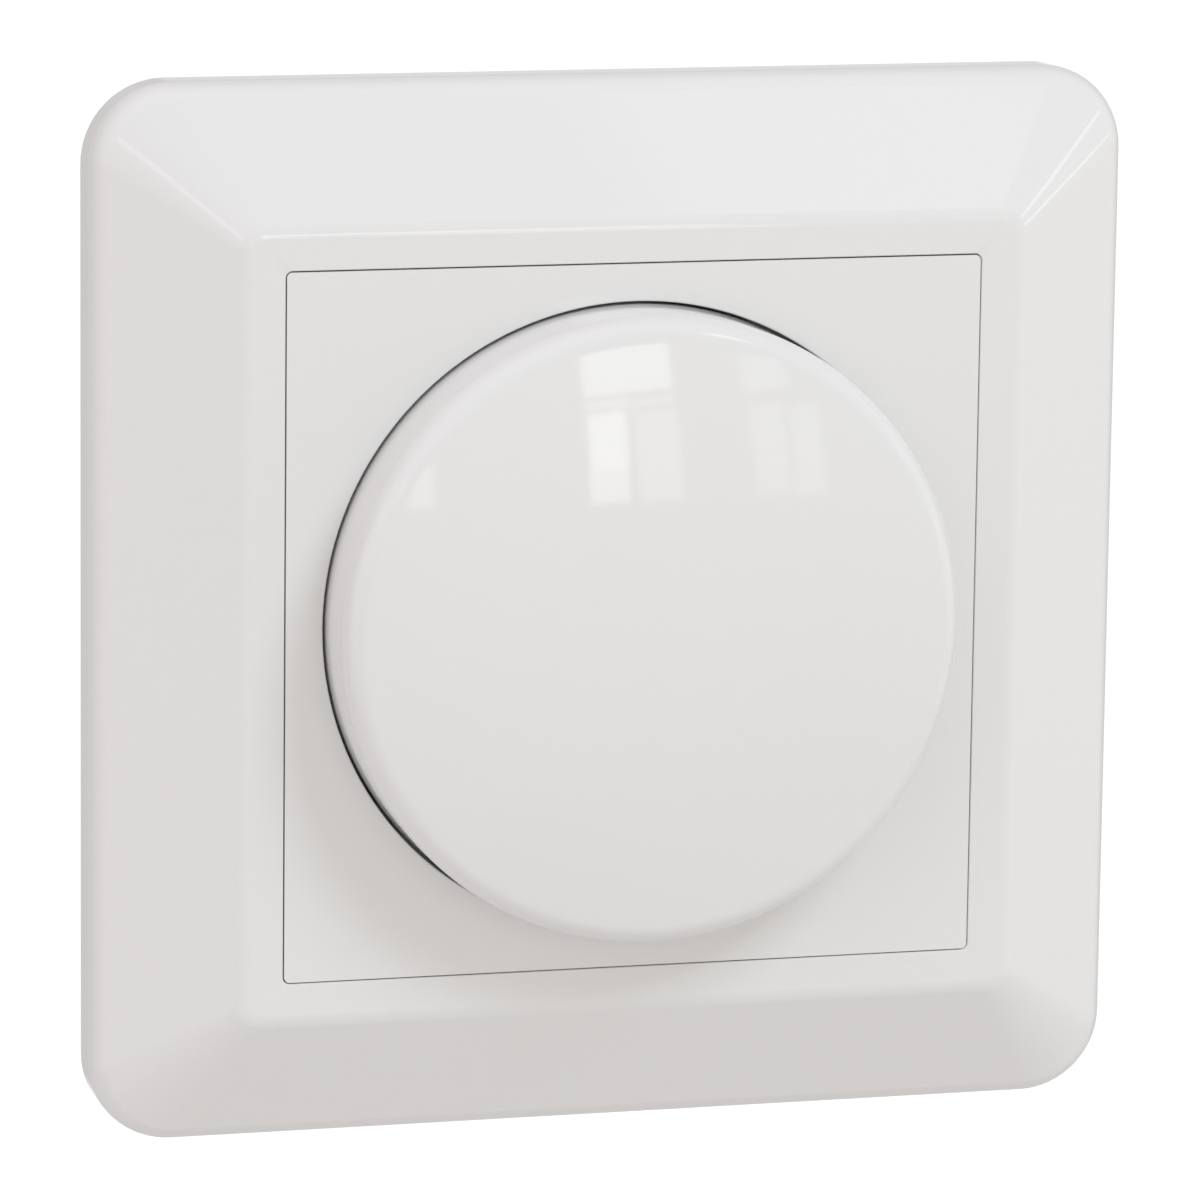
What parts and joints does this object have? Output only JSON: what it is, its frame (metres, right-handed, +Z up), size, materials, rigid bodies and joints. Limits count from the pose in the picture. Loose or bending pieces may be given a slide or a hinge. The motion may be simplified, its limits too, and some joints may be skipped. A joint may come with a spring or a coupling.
{
  "type": "rotary push dimmer",
  "caption": "Flush wall dimmer: a round domed knob turns and pushes in a square centre plate, with a slope-sided surround frame and a boxed insert behind.",
  "frame": {"origin": "on the knob's axis at the wall surface, the middle of the box screws and the mounting plate's rear face", "axes": "+X right, +Z up, +Y into the wall; the front faces -Y"},
  "size_m": [0.084, 0.0428, 0.084],
  "materials": {
    "white_gloss": "glossy moulded, plain white",
    "zinc_steel": "zinc plated",
    "bush_brass": "turned, nickel flashed",
    "shaft_aluminium": "plain mill finish",
    "spring_steel": "spring temper",
    "insert_grey": "fine spark texture",
    "pot_steel": "tin plated",
    "wafer_brown": "phenolic paper",
    "black_moulding": "moulded",
    "contact_brass": "rolled strip",
    "plunger_white": "natural acetal",
    "board_green": "solder resist on glass epoxy",
    "chip_ceramic": "chip parts",
    "pad_silicone": "soft filled silicone",
    "core_coating": "coated powder iron",
    "copper_wire": "enamelled copper",
    "capacitor_red": "moulded box",
    "capacitor_sleeve": "shrink sleeve",
    "blue_epoxy": "dipped epoxy",
    "fuse_glass": "clear tube",
    "fuse_cap_plating": "nickel plated",
    "terminal_moulding": "moulded"
  },
  "bodies": {
    "insert": {"centre_plate": "white_gloss", "choke_core": "core_coating", "choke_winding": "copper_wire", "circuit_board": "board_green", "controller_chip": "black_moulding", "film_capacitor": "capacitor_red", "fixing_nut": "zinc_steel", "fixing_washer": "zinc_steel", "fuse_caps": "fuse_cap_plating", "fuse_clips": "contact_brass", "fuse_tube": "fuse_glass", "heat_spreader": "shaft_aluminium", "housing_lid": "insert_grey", "housing_screws": "zinc_steel", "housing_tub": "insert_grey", "mounting_plate": "zinc_steel", "pot_body": "pot_steel", "pot_pins": "contact_brass", "pot_wafer": "wafer_brown", "return_spring": "spring_steel", "smoothing_capacitor": "capacitor_sleeve", "surface_parts": "chip_ceramic", "surround_frame": "white_gloss", "switch_body": "black_moulding", "switch_contacts": "contact_brass", "terminal_bars": "contact_brass", "terminal_block": "terminal_moulding", "thermal_pad": "pad_silicone", "threaded_bush": "bush_brass", "transistors": "black_moulding", "trimmer_body": "blue_epoxy", "varistor": "blue_epoxy"},
    "plunger": {"switch_plunger": "plunger_white"},
    "knob": {"knob": "white_gloss", "knob_clip": "spring_steel", "shaft": "shaft_aluminium", "shaft_ring": "spring_steel"},
    "wiper": {"pot_rotor": "black_moulding", "pot_wiper": "contact_brass"},
    "rocker": {"contact_rocker": "contact_brass"},
    "trimmer": {"trimmer_rotor": "plunger_white"},
    "screw_a": {"terminal_screw_a": "zinc_steel"},
    "cage_a": {"terminal_cage_a": "contact_brass"},
    "screw_b": {"terminal_screw_b": "zinc_steel"},
    "cage_b": {"terminal_cage_b": "contact_brass"},
    "screw_c": {"terminal_screw_c": "zinc_steel"},
    "cage_c": {"terminal_cage_c": "contact_brass"}
  },
  "joints": [
    {"name": "knob_push", "type": "slide", "parent": "insert", "child": "plunger", "axis": [0, 1, 0], "range_m": [0, 0.0015], "stiffness_N_per_m": 3000, "springref_m": -0.0005, "deforming": ["return_spring"]},
    {"name": "knob_turn", "type": "hinge", "parent": "plunger", "child": "knob", "pos_m": [0, 0, 0], "axis": [0, 1, 0], "range_deg": [-140, 140]},
    {"name": "wiper_turn", "type": "hinge", "parent": "insert", "child": "wiper", "pos_m": [0, 0.0042, 0], "axis": [0, 1, 0], "range_deg": [-140, 140]},
    {"name": "rocker_tilt", "type": "hinge", "parent": "insert", "child": "rocker", "pos_m": [0, 0.012, -0.00555], "axis": [1, 0, 0], "range_deg": [-14, 0]},
    {"name": "trimmer_turn", "type": "hinge", "parent": "insert", "child": "trimmer", "pos_m": [0.0155, 0.004, 0], "axis": [0, 1, 0], "range_deg": [-130, 130]},
    {"name": "terminal_screw_a_turn", "type": "hinge", "parent": "insert", "child": "screw_a", "pos_m": [-0.007, 0.017, -0.0206], "axis": [0, 0, 1], "range_deg": [0, 1260]},
    {"name": "terminal_cage_a_clamp", "type": "slide", "parent": "insert", "child": "cage_a", "axis": [0, 0, -1], "range_m": [0, 0.00175]},
    {"name": "terminal_screw_b_turn", "type": "hinge", "parent": "insert", "child": "screw_b", "pos_m": [0, 0.017, -0.0206], "axis": [0, 0, 1], "range_deg": [0, 1260]},
    {"name": "terminal_cage_b_clamp", "type": "slide", "parent": "insert", "child": "cage_b", "axis": [0, 0, -1], "range_m": [0, 0.00175]},
    {"name": "terminal_screw_c_turn", "type": "hinge", "parent": "insert", "child": "screw_c", "pos_m": [0.007, 0.017, -0.0206], "axis": [0, 0, 1], "range_deg": [0, 1260]},
    {"name": "terminal_cage_c_clamp", "type": "slide", "parent": "insert", "child": "cage_c", "axis": [0, 0, -1], "range_m": [0, 0.00175]}
  ],
  "couplings": [
    {"joint": "wiper_turn", "follows": "knob_turn", "ratio": 1},
    {"joint": "rocker_tilt", "follows": "knob_push", "rad_per_m": -162.8},
    {"joint": "terminal_screw_a_turn", "follows": "terminal_cage_a_clamp", "rad_per_m": 12566},
    {"joint": "terminal_screw_b_turn", "follows": "terminal_cage_b_clamp", "rad_per_m": 12566},
    {"joint": "terminal_screw_c_turn", "follows": "terminal_cage_c_clamp", "rad_per_m": 12566}
  ]
}
